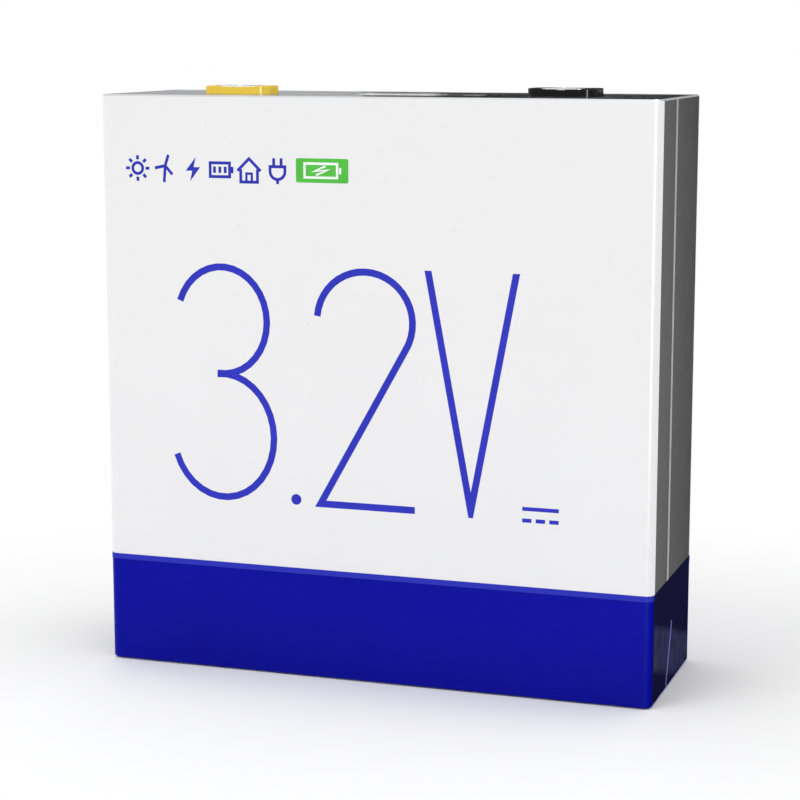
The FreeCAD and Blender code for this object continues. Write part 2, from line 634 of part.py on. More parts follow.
def make_roll(name, face):
    """Flattened winding of coated foils and separator, wound about Z, and the tape that ends it."""
    body = new_body(f"{name}_roll")
    pad(body, racetrack(body, "winding", "Dims.roll_width", "Dims.roll_thickness"), "Dims.roll_height")
    slit_length = "(Dims.roll_width - Dims.roll_thickness)"
    slit = racetrack(body, "slit", slit_length, "Dims.roll_slit", height="Dims.roll_height")
    pocket(body, slit, "Dims.roll_height")
    place(body, y=f"{face} * {ROLL_CENTRE}", z=ROLL_BOTTOM)

    skin = f"{ROLL_CENTRE} + Dims.roll_thickness / 2"
    y = skin if face > 0 else f"-({skin} + Dims.tape_thickness)"
    size = ("Dims.roll_tape_width", "Dims.tape_thickness", "Dims.roll_tape_height")
    middle = f"{ROLL_BOTTOM} + (Dims.roll_height - Dims.roll_tape_height) / 2"
    box(f"{name}_roll_tape", *size, "-Dims.roll_tape_width / 2", y, middle)


def make_bag():
    height = f"(Dims.bag_top - {BAG_BOTTOM})"
    radius = f"{INNER_RADIUS} - Dims.inner_gap"
    body = plate("insulating_bag", BAG_WIDTH, BAG_DEPTH, radius, height)
    wall = "2 * Dims.bag_thickness"
    size = (f"{BAG_WIDTH} - {wall}", f"{BAG_DEPTH} - {wall}", f"{radius} - Dims.bag_thickness")
    pocket(body, rounded_rectangle(body, "inside", *size, height=height), f"{height} - Dims.bag_thickness")
    place(body, z=BAG_BOTTOM)


def make_tray():
    radius = f"{INNER_RADIUS} - Dims.inner_gap"
    body = plate("bottom_tray", BAG_WIDTH, BAG_DEPTH, radius, "Dims.tray_thickness")
    first_x = "Dims.tray_slot_pitch * (1 - Dims.tray_slot_count) / 2"
    size = ("Dims.tray_slot_length", "Dims.tray_slot_width")
    slot = racetrack(body, "slot", *size, x=first_x, height="Dims.tray_thickness")
    cut = pocket(body, slot, "Dims.tray_thickness")
    row_of(body, cut, slot, "Dims.tray_slot_pitch", "Dims.tray_slot_count")
    place(body, z=TRAY_BOTTOM)


def write_pieces():
    """Stop on anything that failed, then write each piece to a file of its own."""
    doc.recompute()
    failed = [thing.Label for thing in doc.Objects if {"Invalid", "Error"} & set(thing.State)]
    failed += [piece.Label for piece in pieces if piece.Shape.isNull() or not piece.Shape.isValid()]
    if failed:
        raise RuntimeError(f"failed objects: {failed}")
    os.makedirs("parts", exist_ok=True)
    for piece in pieces:
        piece.Shape.exportStep(f"parts/{piece.Label}.step")
        print(f"{piece.Label}: {piece.Shape.Volume:.1f} mm3, {len(piece.Shape.Solids)} solid")


make_can()
make_bottom_sheet()
make_lower_film()
for name, face in FACES.items():
    make_upper_film(name, face)
    make_roll(name, face)
for name, side in SIDES.items():
    make_side_flaps(name, side)
make_lid()
make_vent()
make_fill_port()
for polarity, side in POLARITIES.items():
    make_collar(polarity, side)
    make_terminal(polarity, side)
    make_connector(polarity, side)
    make_tab_tape(polarity, side)
    for name, face in FACES.items():
        make_tab(polarity, side, name, face)
make_bag()
make_tray()
write_pieces()
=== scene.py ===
# Looks of the prismatic storage cell: a material for every piece, the print on the front film,
# weld beads, folds and the bulged vent cover, with a pale floor, soft light and the camera.
#
# Metres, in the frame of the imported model: -Y is the printed front, the positive terminal is at -X.
import json
import math

import bmesh
import bpy
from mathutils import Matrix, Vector


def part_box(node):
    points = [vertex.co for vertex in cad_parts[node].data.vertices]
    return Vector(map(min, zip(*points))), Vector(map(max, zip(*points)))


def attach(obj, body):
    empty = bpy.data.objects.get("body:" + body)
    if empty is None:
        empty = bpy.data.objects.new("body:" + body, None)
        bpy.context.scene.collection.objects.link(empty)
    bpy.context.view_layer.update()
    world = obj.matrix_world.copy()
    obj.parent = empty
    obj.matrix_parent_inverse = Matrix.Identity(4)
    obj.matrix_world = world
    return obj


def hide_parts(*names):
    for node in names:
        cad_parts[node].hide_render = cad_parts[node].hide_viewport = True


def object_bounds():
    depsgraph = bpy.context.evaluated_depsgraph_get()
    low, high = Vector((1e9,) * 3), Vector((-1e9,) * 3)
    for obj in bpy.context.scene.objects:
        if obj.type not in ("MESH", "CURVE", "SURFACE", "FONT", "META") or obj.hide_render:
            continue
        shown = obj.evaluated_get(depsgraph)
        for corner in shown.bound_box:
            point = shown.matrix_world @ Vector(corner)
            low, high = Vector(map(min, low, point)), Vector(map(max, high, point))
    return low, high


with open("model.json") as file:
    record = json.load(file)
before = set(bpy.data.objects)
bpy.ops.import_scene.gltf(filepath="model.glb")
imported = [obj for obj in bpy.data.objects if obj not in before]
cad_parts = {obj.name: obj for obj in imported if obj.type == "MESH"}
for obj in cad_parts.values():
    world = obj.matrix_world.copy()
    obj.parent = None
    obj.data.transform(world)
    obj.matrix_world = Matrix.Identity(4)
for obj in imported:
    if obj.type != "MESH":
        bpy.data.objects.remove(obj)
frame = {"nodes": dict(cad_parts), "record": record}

MM = 0.001
cad_low, cad_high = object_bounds()

# Camera, round a point on the middle line of the cell
CAMERA_AZIMUTH = 18.61
CAMERA_ELEVATION = 9.59
CAMERA_DISTANCE = 0.857
CAMERA_TARGET = Vector((0, 0, 0.105))
CAMERA_LENS = 98.1

# Cards behind the cell, grey to the left of CARD_EDGE and black to the right, in metres
CARD_EDGE = -0.335
CARD_WIDTH = 1.2
CARD_HEIGHT = 0.34
CARD_BEHIND = 0.9
CARD_FOOT = 0.2

# Print on the front film, in millimetres from the cell's left edge and its foot
FIGURE_STROKE = 2.7
FIGURE_BOTTOM = 68.0
FIGURE_TOP = 160.5
THREE_MIDDLE = 50.0
POINT_MIDDLE = 80.0
TWO_MIDDLE = 108.0
VEE_MIDDLE = 150.0
CURRENT_SIGN_LEFT = 170.0
CURRENT_SIGN_STROKE = 1.5
ICON_SIZE = 9.8
ICON_STROKE = 1.15
ICON_FOOT = 191.2
ICON_FIRST = 10.8
ICON_PITCH = 11.55
FILLED = 0.0

# Ink: its thickness in metres, and how far its middle stands off the film, in thicknesses
INK_THICKNESS = 0.02 * MM
INK_STAND_OFF = 0.6

# Welds, vent cover and folds, in metres. HAIR keeps apart what would otherwise touch
POST_WELD_RADIUS = 4.75 * MM
POST_RECESS = 0.5 * MM
VENT_BULGE = 1.1 * MM
FOLD_WIDTH = 2.4 * MM
HAIR = 0.01 * MM

# Colours, linear red, green and blue
WHITE = (0.80, 0.80, 0.806)
BLUE = (0.0012, 0.0026, 0.33)
# the hem's lighter blue is a painted highlight along its top edge
HEM_HIGHLIGHT_BLUE = (0.025, 0.032, 0.44)
# the navy of the narrow sides is that dark partly as painted shade
NAVY_WITH_SIDE_SHADE = (0.009, 0.009, 0.039)
# a paler navy for a painted reflection low on the narrow sides
PAINTED_REFLECTION_NAVY = (0.034, 0.036, 0.088)
# the fold's pale navy is a painted highlight
FOLD_NAVY_WITH_HIGHLIGHT = (0.12, 0.12, 0.38)
# the grey of the narrow sides is that dark partly as painted shade
SIDE_GREY_WITH_SHADE = (0.058, 0.058, 0.060)
INK_BLUE = (0.025, 0.031, 0.48)
ICON_BLUE = (0.026, 0.031, 0.42)
BADGE_GREEN = (0.085, 0.50, 0.055)
ALUMINIUM = (0.76, 0.77, 0.78)
COPPER = (0.72, 0.40, 0.27)
BARE_EDGE = (0.93, 0.93, 0.94)


# Materials

# A wave texture of scale 1 repeats after this length
WAVE_PERIOD = 0.314


class Graph:
    """A material's nodes, its shader and the place on the object, in metres."""

    def __init__(self, name):
        self.material = bpy.data.materials.new(name)
        self.material.use_nodes = True
        tree = self.material.node_tree
        self.nodes, self.links = tree.nodes, tree.links
        self.shader = self.nodes["Principled BSDF"]
        self.place = self.nodes.new("ShaderNodeTexCoord").outputs["Object"]
        self.tone = None
        self.normal = None

    def feed(self, socket, source):
        """Link a socket to a source, or set it to a plain value."""
        if isinstance(source, bpy.types.NodeSocket):
            self.links.new(source, socket)
        else:
            socket.default_value = source

    def set(self, **values):
        """Set plain values on the shader's own sockets, named with _ for a space."""
        for name, number in values.items():
            self.shader.inputs[name.replace("_", " ")].default_value = number

    def noise(self, size, detail=3.0, stretch=(1, 1, 1), roughness=0.5):
        """Grain of a size in metres, drawn out along each axis by stretch."""
        mapping = self.nodes.new("ShaderNodeMapping")
        mapping.inputs["Scale"].default_value = [1 / (size * factor) for factor in stretch]
        self.feed(mapping.inputs["Vector"], self.place)
        grain = self.nodes.new("ShaderNodeTexNoise")
        grain.inputs["Scale"].default_value = 1.0
        grain.inputs["Detail"].default_value = detail
        grain.inputs["Roughness"].default_value = roughness
        self.feed(grain.inputs["Vector"], mapping.outputs["Vector"])
        return grain.outputs["Fac"]

    def lines(self, pitch, axis, distortion=0.0):
        """Parallel lines across an axis, a pitch in metres apart."""
        wave = self.nodes.new("ShaderNodeTexWave")
        wave.bands_direction = axis
        wave.inputs["Scale"].default_value = WAVE_PERIOD / pitch
        wave.inputs["Distortion"].default_value = distortion
        wave.inputs["Detail"].default_value = 2.0
        self.feed(wave.inputs["Vector"], self.place)
        return wave.outputs["Fac"]

    def rings(self, pitch, centre):
        """Turning marks round an upright axis."""
        mapping = self.nodes.new("ShaderNodeMapping")
        mapping.inputs["Location"].default_value = (-centre[0], -centre[1], 0)
        self.feed(mapping.inputs["Vector"], self.place)
        wave = self.nodes.new("ShaderNodeTexWave")
        wave.wave_type = "RINGS"
        wave.rings_direction = "Z"
        wave.inputs["Scale"].default_value = WAVE_PERIOD / pitch
        wave.inputs["Distortion"].default_value = 0.6
        self.feed(wave.inputs["Vector"], mapping.outputs["Vector"])
        return wave.outputs["Fac"]

    def spread(self, factor, low, high, start=0.0, end=1.0):
        """Map a factor from start..end to low..high."""
        node = self.nodes.new("ShaderNodeMapRange")
        for name, number in (("From Min", start), ("From Max", end), ("To Min", low), ("To Max", high)):
            node.inputs[name].default_value = number
        self.feed(node.inputs["Value"], factor)
        return node.outputs["Result"]

    def patches(self, size, start, end, **grain):
        """Soft patches of a size in metres: 0 where the grain is under start, 1 over end."""
        return self.spread(self.noise(size, **grain), 0, 1, start, end)

    def calculate(self, operation, first, second=0.0):
        node = self.nodes.new("ShaderNodeMath")
        node.operation = operation
        self.feed(node.inputs[0], first)
        self.feed(node.inputs[1], second)
        return node.outputs["Value"]

    def blend(self, factor, first, second):
        """First colour where the factor is 0, second where it is 1."""
        node = self.nodes.new("ShaderNodeMix")
        node.data_type = "RGBA"
        self.feed(node.inputs["Factor"], factor)
        for socket, colour in ((node.inputs["A"], first), (node.inputs["B"], second)):
            self.feed(socket, colour if isinstance(colour, bpy.types.NodeSocket) else (*colour, 1))
        return node.outputs["Result"]

    def tint(self, tone, mask, amount, colour):
        """A tone, moved by a part of the way, amount, to a colour where the mask is 1."""
        return self.blend(self.calculate("MULTIPLY", mask, amount), tone, colour)

    def axis(self, source, name):
        node = self.nodes.new("ShaderNodeSeparateXYZ")
        self.feed(node.inputs["Vector"], source)
        return node.outputs[name]

    def edges(self, radius):
        """1 on edges, 0 on flat faces: how far rounding by radius would turn the surface."""
        rounded = self.nodes.new("ShaderNodeBevel")
        rounded.samples = 6
        rounded.inputs["Radius"].default_value = radius
        geometry = self.nodes.new("ShaderNodeNewGeometry")
        turn = self.nodes.new("ShaderNodeVectorMath")
        turn.operation = "DOT_PRODUCT"
        self.feed(turn.inputs[0], rounded.outputs["Normal"])
        self.feed(turn.inputs[1], geometry.outputs["Normal"])
        return self.spread(turn.outputs["Value"], 0.0, 1.0, start=1.0, end=0.8)

    def bump(self, height, distance):
        """Relief of a depth in metres, on top of what is there already."""
        node = self.nodes.new("ShaderNodeBump")
        node.inputs["Strength"].default_value = 1.0
        node.inputs["Distance"].default_value = distance
        self.feed(node.inputs["Height"], height)
        if self.normal:
            self.feed(node.inputs["Normal"], self.normal)
        self.normal = node.outputs["Normal"]
        self.feed(self.shader.inputs["Normal"], self.normal)

    def colour(self, source):
        self.tone = source
        self.feed(self.shader.inputs["Base Color"], source)

    def roughness(self, source):
        self.feed(self.shader.inputs["Roughness"], source)


def shade(colour, factor):
    return tuple(part * factor for part in colour)


def film(name, colour, roughness, gloss, cloud=0.05):
    """Printed film on the can: faint clouding, an orange-peel skin and slow waviness."""
    graph = Graph(name)
    clouds = graph.patches(50 * MM, 0.35, 0.65, detail=2)
    speckle = graph.patches(0.5 * MM, 0.3, 0.7)
    tone = graph.blend(clouds, shade(colour, 1 - cloud), colour)
    graph.colour(graph.tint(tone, speckle, 0.35, shade(colour, 1 - 2 * cloud)))
    rubs = graph.noise(9 * MM, detail=4)
    graph.roughness(graph.spread(rubs, roughness - 0.03, roughness + 0.05, 0.3, 0.7))
    graph.set(Specular_IOR_Level=gloss)
    graph.bump(graph.noise(1.2 * MM, detail=2), 0.006 * MM)
    graph.bump(graph.noise(45 * MM, detail=1), 0.12 * MM)
    return graph


def printed_film(name, colour, roughness, gloss, cloud=0.05):
    """Film of one colour all over."""
    return film(name, colour, roughness, gloss, cloud).material


def band_film(name):
    """Blue film: lighter on its hem as a painted highlight, darker toward its foot as painted shade, and
    navy where it turns on to the sides, that dark partly as painted shade.
    """
    graph = film(name, BLUE, 0.30, 0.07, cloud=0.08)
    height = graph.axis(graph.place, "Z")
    hem_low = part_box("front_upper_film")[0].z
    # painted highlight: the hem is lighter
    hem = graph.spread(height, 0, 1, hem_low - 0.25 * MM, hem_low - 0.05 * MM)
    geometry = graph.nodes.new("ShaderNodeNewGeometry")
    sideways = graph.calculate("ABSOLUTE", graph.axis(geometry.outputs["Normal"], "X"))
    # navy where the surface faces the sides, that dark partly as painted shade
    side_navy_and_shade = graph.spread(sideways, 0, 1, 0.93, 0.99)
    graph.feed(graph.shader.inputs["Specular IOR Level"], graph.spread(sideways, 0.07, 0.0, 0.4, 0.9))
    # painted shade: darker toward the foot
    foot = graph.spread(height, 0.16, 0, 2 * MM, 30 * MM)
    darker = graph.blend(foot, graph.tone, (0, 0, 0))
    with_hem = graph.blend(hem, darker, HEM_HIGHLIGHT_BLUE)
    graph.colour(graph.blend(side_navy_and_shade, with_hem, NAVY_WITH_SIDE_SHADE))
    return graph.material


def upper_flap_film(name):
    """Dark grey film of the narrow sides, that dark partly as painted shade, and a little paler toward the
    front as painted light.
    """
    graph = film(name, SIDE_GREY_WITH_SHADE, 0.5, 0.01)
    depth = graph.axis(graph.place, "Y")
    # painted light: paler toward the front
    painted_light_toward_front = graph.spread(depth, 0.07, 0.0, cad_low.y, cad_high.y)
    graph.colour(graph.blend(painted_light_toward_front, graph.tone, (0.9, 0.9, 0.9)))
    return graph.material


def lower_flap_film(name):
    """Navy film of the narrow sides, that dark partly as painted shade, with a paler slanting belt low down
    that is a painted reflection.
    """
    graph = film(name, NAVY_WITH_SIDE_SHADE, 0.42, 0.0, cloud=0.2)
    # painted reflection: a paler belt that slants down toward the rear
    slant = graph.calculate("MULTIPLY", graph.axis(graph.place, "Y"), 0.3)
    height = graph.calculate("ADD", graph.axis(graph.place, "Z"), slant)
    rise = graph.spread(height, 0, 1, 3 * MM, 6 * MM)
    fall = graph.spread(height, 1, 0, 20 * MM, 23 * MM)
    painted_reflection_belt = graph.calculate("MULTIPLY", rise, fall)
    uneven = graph.spread(graph.noise(6 * MM, detail=2), 0.55, 1.0, 0.35, 0.65)
    graph.colour(graph.tint(graph.tone, painted_reflection_belt, uneven, PAINTED_REFLECTION_NAVY))
    return graph.material


def metal(name, colour, roughness, grain=(12, 1, 1), wear=0.0):
    """Rolled or drawn metal: grain along one axis, stains and brighter edges."""
    graph = Graph(name)
    streaks = graph.noise(0.2 * MM, detail=5, stretch=grain, roughness=0.6)
    stains = graph.patches(18 * MM, 0.35, 0.7, detail=4)
    tone = graph.blend(graph.spread(streaks, 0, 1, 0.3, 0.7), shade(colour, 0.82), colour)
    tone = graph.tint(tone, stains, 0.35, shade(colour, 0.7))
    if wear:
        tone = graph.tint(tone, graph.edges(0.3 * MM), wear, BARE_EDGE)
    graph.colour(tone)
    along_grain = graph.spread(streaks, -0.06, 0.08)
    graph.roughness(graph.calculate("ADD", along_grain, graph.spread(stains, roughness, roughness + 0.1)))
    graph.set(Metallic=1.0)
    graph.bump(streaks, 0.004 * MM)
    graph.bump(graph.noise(20 * MM, detail=1), 0.03 * MM)
    return graph.material


def turned_metal(name, colour, roughness, centre):
    """Machined metal with fine rings round its centre."""
    graph = Graph(name)
    rings = graph.rings(0.22 * MM, centre)
    stains = graph.patches(4 * MM, 0.35, 0.7, detail=4)
    tone = graph.tint(colour, rings, 0.4, shade(colour, 0.72))
    tone = graph.tint(tone, stains, 0.3, shade(colour, 0.6))
    graph.colour(graph.tint(tone, graph.edges(0.25 * MM), 0.6, shade(colour, 1.2)))
    graph.roughness(graph.spread(stains, roughness, roughness + 0.12))
    graph.set(Metallic=1.0)
    graph.bump(rings, 0.006 * MM)
    return graph.material


def moulding(name, colour, roughness, gloss, worn):
    """Injection-moulded plastic: spark-eroded grain, faint flow marks and scuffed edges."""
    graph = Graph(name)
    grain = graph.noise(0.25 * MM, detail=3)
    flow = graph.patches(6 * MM, 0.3, 0.7, detail=3, stretch=(3, 1, 1))
    tone = graph.tint(colour, flow, 0.5, shade(colour, 0.82))
    scuffs = graph.spread(graph.noise(1.5 * MM), 0.2, 1.0, 0.4, 0.7)
    scuffed_edge = graph.calculate("MULTIPLY", graph.edges(0.25 * MM), scuffs)
    graph.colour(graph.tint(tone, scuffed_edge, 0.6, worn))
    graph.roughness(graph.spread(flow, roughness - 0.05, roughness + 0.1))
    graph.set(Specular_IOR_Level=gloss)
    graph.bump(grain, 0.008 * MM)
    graph.bump(graph.noise(4 * MM, detail=1), 0.02 * MM)
    return graph.material


def tape(name, colour, roughness, gloss):
    """Adhesive tape: backing grain, trapped air and a slight crinkle."""
    graph = Graph(name)
    backing = graph.noise(0.6 * MM, detail=3, stretch=(1, 1, 5))
    air = graph.patches(5 * MM, 0.45, 0.62, detail=5)
    tone = graph.blend(backing, shade(colour, 0.9), shade(colour, 1.06))
    graph.colour(graph.tint(tone, air, 0.4, shade(colour, 0.84)))
    graph.roughness(graph.spread(air, roughness, roughness + 0.14))
    graph.set(Specular_IOR_Level=gloss)
    graph.bump(graph.noise(2 * MM, detail=2), 0.02 * MM)
    return graph.material


def layered(name, colour, roughness, pitch, axis, metallic):
    """Many thin layers seen edge on, such as a foil stack or a winding."""
    graph = Graph(name)
    layers = graph.lines(pitch, axis, distortion=1.5)
    blotches = graph.patches(12 * MM, 0.35, 0.7, detail=4)
    tone = graph.tint(colour, layers, 0.5, shade(colour, 0.62))
    graph.colour(graph.tint(tone, blotches, 0.3, shade(colour, 0.75)))
    graph.roughness(graph.spread(blotches, roughness, roughness + 0.12))
    graph.set(Metallic=metallic)
    graph.bump(layers, 0.03 * MM)
    return graph.material


def clear_film(name, colour, alpha, roughness):
    """Clear plastic film with a soft haze and fine scratches."""
    graph = Graph(name)
    haze = graph.patches(6 * MM, 0.35, 0.7, detail=4)
    scratches = graph.noise(0.4 * MM, detail=2, stretch=(1, 14, 1))
    graph.colour(graph.blend(haze, colour, shade(colour, 0.85)))
    graph.roughness(graph.spread(haze, roughness, roughness + 0.08))
    graph.feed(graph.shader.inputs["Alpha"], graph.spread(haze, alpha, alpha + 0.12))
    graph.set(Specular_IOR_Level=1.0)
    graph.bump(scratches, 0.002 * MM)
    return graph.material


def ink(name, colour):
    """Screen-printed ink, slightly uneven where the screen's mesh left it thin."""
    graph = Graph(name)
    mesh = graph.noise(0.3 * MM, detail=2)
    thin = graph.patches(10 * MM, 0.35, 0.65, detail=3)
    tone = graph.blend(thin, shade(colour, 0.94), shade(colour, 1.05))
    graph.colour(graph.tint(tone, mesh, 0.25, shade(colour, 0.8)))
    graph.roughness(graph.spread(thin, 0.38, 0.48))
    graph.set(Specular_IOR_Level=0.15)
    graph.bump(mesh, 0.003 * MM)
    return graph.material


def studio_floor(name):
    """Pale matt floor, faintly clouded."""
    graph = Graph(name)
    clouds = graph.noise(600 * MM, detail=3)
    graph.colour(graph.blend(clouds, (0.90, 0.90, 0.905), (0.93, 0.93, 0.932)))
    graph.roughness(graph.spread(clouds, 0.7, 0.8))
    graph.set(Specular_IOR_Level=0.1)
    graph.bump(graph.noise(2 * MM), 0.02 * MM)
    return graph.material


def card_board(name, colour):
    """Matt board with a faint grain."""
    graph = Graph(name)
    graph.colour(graph.blend(graph.noise(10 * MM), shade(colour, 0.8), colour))
    graph.roughness(graph.spread(graph.noise(2 * MM), 0.8, 0.95))
    graph.set(Specular_IOR_Level=0.0)
    return graph.material


def middle(node):
    low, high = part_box(node)
    return (low + high) / 2


POSITIVE = middle("positive_post")
NEGATIVE = middle("negative_post")
SLOT_MATERIALS = {
    "can_aluminium": metal("can_drawn", ALUMINIUM, 0.28, grain=(1, 1, 14), wear=0.5),
    "lid_aluminium": metal("lid_rolled", (0.48, 0.48, 0.50), 0.11, grain=(16, 1, 1), wear=0.4),
    "terminal_aluminium": metal("pad_milled", (0.70, 0.70, 0.71), 0.14, grain=(1, 9, 1), wear=0.3),
    "post_aluminium": turned_metal("post_turned", (0.78, 0.78, 0.79), 0.25, POSITIVE),
    "post_copper": turned_metal("post_turned_copper", COPPER, 0.28, NEGATIVE),
    "vent_foil": metal("vent_coined", (0.66, 0.67, 0.69), 0.3, grain=(8, 1, 1)),
    "clear_film": clear_film("vent_cover_clear", (0.86, 0.87, 0.90), 0.5, 0.05),
    "guard_plastic": moulding("plate_moulded_black", (0.022, 0.022, 0.024), 0.5, 0.4, (0.09, 0.09, 0.09)),
    "plug_rubber": moulding("seal_rubber", (0.014, 0.014, 0.015), 0.62, 0.3, (0.05, 0.05, 0.05)),
    "cap_aluminium": metal("fill_cap_pressed", (0.52, 0.53, 0.54), 0.14, grain=(1, 6, 1), wear=0.3),
    "positive_plastic": moulding("collar_yellow", (0.98, 0.69, 0.055), 0.2, 0.4, (1.0, 0.82, 0.30)),
    "negative_plastic": moulding("collar_black", (0.004, 0.004, 0.0045), 0.2, 0.14, (0.02, 0.02, 0.02)),
    "connector_aluminium": metal("connector_stamped", (0.77, 0.78, 0.79), 0.3, grain=(1, 10, 1)),
    "connector_copper": metal("connector_stamped_copper", COPPER, 0.3, grain=(1, 10, 1)),
    "tab_aluminium": layered("tab_foils", (0.78, 0.79, 0.80), 0.3, 0.1 * MM, "Y", 1.0),
    "tab_copper": layered("tab_copper_foils", (0.74, 0.43, 0.29), 0.3, 0.1 * MM, "Y", 1.0),
    "tape": tape("green_tape", (0.05, 0.30, 0.09), 0.3, 0.4),
    "seam_tape": tape("seam_tape_grey", (0.36, 0.36, 0.37), 0.4, 0.1),
    "winding": layered("winding_separator", (0.80, 0.80, 0.78), 0.55, 0.4 * MM, "Z", 0.0),
    "bag_film": clear_film("bag_blue_film", (0.16, 0.30, 0.62), 0.7, 0.2),
    "tray_plastic": moulding("tray_moulded", (0.58, 0.58, 0.56), 0.5, 0.4, (0.7, 0.7, 0.68)),
    "bottom_film": tape("bottom_laminate", (0.045, 0.05, 0.075), 0.45, 0.2),
    "upper_film": printed_film("film_white", WHITE, 0.30, 0.35, cloud=0.012),
    "lower_film": band_film("film_blue"),
    "flap_film": upper_flap_film("film_side_grey"),
    "lower_flap_film": lower_flap_film("film_side_navy"),
}


def dress_cad_nodes():
    """Give every CAD node the material of the record's slot for it."""
    for part in frame["record"]["subparts"]:
        for slot in frame["nodes"][part["node"]].material_slots:
            slot.material = SLOT_MATERIALS[part["material_slot"]]


# Pieces


def new_piece(name, mesh, material):
    """A mesh piece of the cell that rides on its one body."""
    bmesh.ops.recalc_face_normals(mesh, faces=mesh.faces)
    data = bpy.data.meshes.new(name)
    mesh.to_mesh(data)
    mesh.free()
    data.materials.append(material)
    piece = bpy.data.objects.new(name, data)
    bpy.context.scene.collection.objects.link(piece)
    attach(piece, "root")
    return piece


def smooth(piece):
    for face in piece.data.polygons:
        face.use_smooth = True


def join_rings(mesh, rings, closed=False):
    """Skin from each ring of corners to the next, and from the last to the first where closed."""
    following_rings = rings[1:] + rings[:1] if closed else rings[1:]
    for ring, following in zip(rings, following_rings):
        for corner in range(len(ring)):
            after = (corner + 1) % len(ring)
            mesh.faces.new((ring[corner], following[corner], following[after], ring[after]))


def thicken(piece, thickness, offset=0.0):
    solidify = piece.modifiers.new("thickness", "SOLIDIFY")
    solidify.thickness = thickness
    solidify.offset = offset


def arc(across, up, across_radius, up_radius, start, end, steps=24):
    """Points along an elliptical arc, angles in degrees from the right, anticlockwise."""
    angles = [math.radians(start + (end - start) * i / steps) for i in range(steps + 1)]
    return [(across + across_radius * math.cos(a), up + up_radius * math.sin(a)) for a in angles]


def rounded_rectangle(low, high, radius, steps):
    """Corner arcs of a rectangle, given by two opposite corners, from the lower right anticlockwise."""
    (left, foot), (right, top) = low, high
    corners = [(right - radius, foot + radius, -90), (right - radius, top - radius, 0),
               (left + radius, top - radius, 90), (left + radius, foot + radius, 180)]
    points = []
    for across, up, start in corners:
        points += arc(across, up, radius, radius, start, start + 90, steps)
    return points


FRONT_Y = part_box("front_upper_film")[0].y


def on_front(point, lift):
    """A place on the front film, given in millimetres from the cell's left edge and foot."""
    across, up = point
    return (cad_low.x + across * MM, FRONT_Y - INK_THICKNESS * (INK_STAND_OFF + lift), cad_low.z + up * MM)


def add_outline(mesh, points, lift=0):
    """A filled shape on the front film."""
    mesh.faces.new([mesh.verts.new(on_front(point, lift)) for point in points])


def add_stroke(mesh, points, width, lift=0, closed=False):
    """A line of even width on the front film, mitred at its corners."""
    path = [Vector(point) for point in points]
    count = len(path)
    rails = []
    for i, here in enumerate(path):
        before = path[i - 1] if closed or i > 0 else None
        after = path[(i + 1) % count] if closed or i < count - 1 else None
        incoming = (here - before).normalized() if before is not None else (after - here).normalized()
        outgoing = (after - here).normalized() if after is not None else incoming
        along = (incoming + outgoing).normalized()
        # the limit keeps a sharp corner's mitre short
        half = width / 2 / max(along.dot(incoming), 0.3)
        side = Vector((-along.y, along.x)) * half
        rails.append([mesh.verts.new(on_front(here + s, lift)) for s in (side, -side)])
    for i in range(count if closed else count - 1):
        (a, b), (c, d) = rails[i], rails[(i + 1) % count]
        mesh.faces.new((a, b, d, c))


def print_piece(name, material, strokes=(), outlines=()):
    """Ink on the front film, each part a step above the last, in thicknesses of ink.

    A stroke is (points, width, closed), or a filled shape where its width is FILLED.
    """
    step = 0.3
    mesh = bmesh.new()
    for order, outline in enumerate(outlines):
        add_outline(mesh, outline, order * step)
    for order, (points, width, closed) in enumerate(strokes, start=len(outlines)):
        if width == FILLED:
            add_outline(mesh, points, order * step)
        else:
            add_stroke(mesh, points, width, order * step, closed)
    thicken(new_piece(name, mesh, material), INK_THICKNESS)


def vee_outline(centre, spread, tip):
    """The letter V, cut flat at its ends, with a tip of a given half width."""
    fall = FIGURE_TOP - FIGURE_BOTTOM
    run = spread - tip
    half = FIGURE_STROKE / 2 * math.hypot(fall, run) / fall
    fork = FIGURE_TOP - fall * (spread - half) / (run + half)
    right = [(tip, FIGURE_BOTTOM), (spread + half, FIGURE_TOP), (spread - half, FIGURE_TOP)]
    left = [(-across, up) for across, up in reversed(right)]
    return [(centre + across, up) for across, up in right + [(0, fork)] + left]


def make_figures():
    """The nominal voltage of this chemistry in thin lines, with the sign for direct current after it."""
    material = ink("ink_blue", INK_BLUE)
    low, high = FIGURE_BOTTOM + FIGURE_STROKE / 2, FIGURE_TOP - FIGURE_STROKE / 2
    waist = low + (high - low) * 0.54
    upper, lower = (high - waist) / 2, (waist - low) / 2
    bowls = [arc(THREE_MIDDLE, waist + upper, 18.5, upper, 160, -96),
             arc(THREE_MIDDLE, low + lower, 21, lower, 96, -160)]
    print_piece("print_figure_three", material, [(bowl, FIGURE_STROKE, False) for bowl in bowls])
    print_piece("print_point", material, outlines=[arc(POINT_MIDDLE, low + 1, 2.1, 2.1, 0, 345, 23)])
    top_radius = 19.0
    curve = arc(TWO_MIDDLE, high - top_radius, top_radius, top_radius, 175, -32)
    foot = [(TWO_MIDDLE - 18, low), (TWO_MIDDLE + 20, low)]
    print_piece("print_figure_two", material, [(curve + foot, FIGURE_STROKE, False)])
    print_piece("print_letter_v", material, outlines=[vee_outline(VEE_MIDDLE, 17, 0.9)])
    make_current_sign(material)


def make_current_sign(material):
    """A long line over three dashes, the general sign for direct current."""
    length, dash, pitch = 14.0, 3.6, 5.2
    line_height, dash_height = 73.0, 68.6
    starts = [CURRENT_SIGN_LEFT + pitch * i for i in range(3)]
    lines = [[(CURRENT_SIGN_LEFT, line_height), (CURRENT_SIGN_LEFT + length, line_height)]]
    lines += [[(start, dash_height), (start + dash, dash_height)] for start in starts]
    print_piece("print_current_sign", material, [(line, CURRENT_SIGN_STROKE, False) for line in lines])


